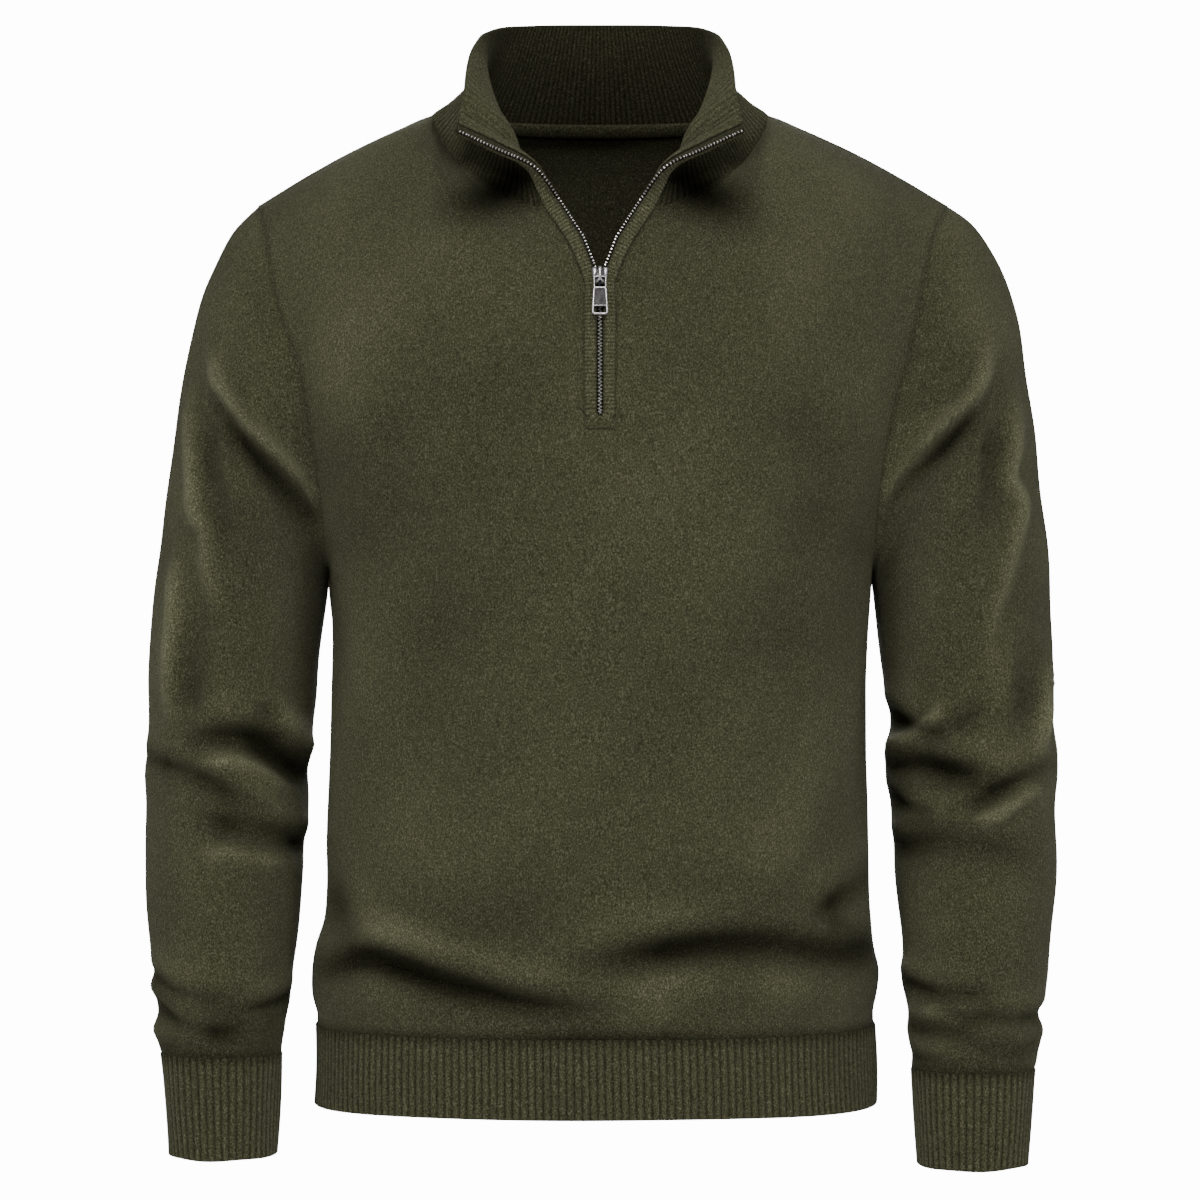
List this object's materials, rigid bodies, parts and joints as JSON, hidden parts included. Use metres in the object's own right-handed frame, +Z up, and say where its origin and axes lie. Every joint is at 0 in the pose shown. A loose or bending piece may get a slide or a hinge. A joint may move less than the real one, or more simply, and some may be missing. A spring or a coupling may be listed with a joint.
{
  "type": "quarter-zip sweater",
  "caption": "Knitted quarter-zip sweater with a turned-out ribbed collar, long sleeves and ribbed cuffs and hem, filled out as if worn.",
  "frame": {"origin": "middle of the neck opening, level with the points where the shoulder seams meet the collar", "axes": "+Z up, -Y the front, +X the wearer's left"},
  "size_m": [0.6306, 0.2494, 0.7889],
  "materials": {
    "jersey": "fine knitted jersey, matt",
    "rib": "ribbed knit, matt",
    "trim_knit": "flat knitted trim, matt",
    "tape": "woven zip tape",
    "gunmetal": "dark gunmetal plating, satin"
  },
  "bodies": {
    "garment": {"front": "jersey", "back": "jersey", "sleeve_right": "jersey", "sleeve_left": "jersey", "cuff_right": "rib", "cuff_left": "rib", "hem_rib": "rib", "collar": "rib", "placket_welt_right": "trim_knit", "placket_welt_left": "trim_knit", "zip_tape_right": "tape", "zip_tape_left": "tape", "zip_facing_right": "trim_knit", "zip_facing_left": "trim_knit", "placket_bar": "trim_knit", "back_neck_binding": "trim_knit", "zip_slider": "gunmetal"},
    "pull": {"pull_tab": "gunmetal"}
  },
  "joints": [
    {"name": "pull_swing", "type": "hinge", "parent": "garment", "child": "pull", "pos_m": [0, -0.11807, -0.12031], "axis": [-1, 0, 0], "range_deg": [0, 150]}
  ]
}
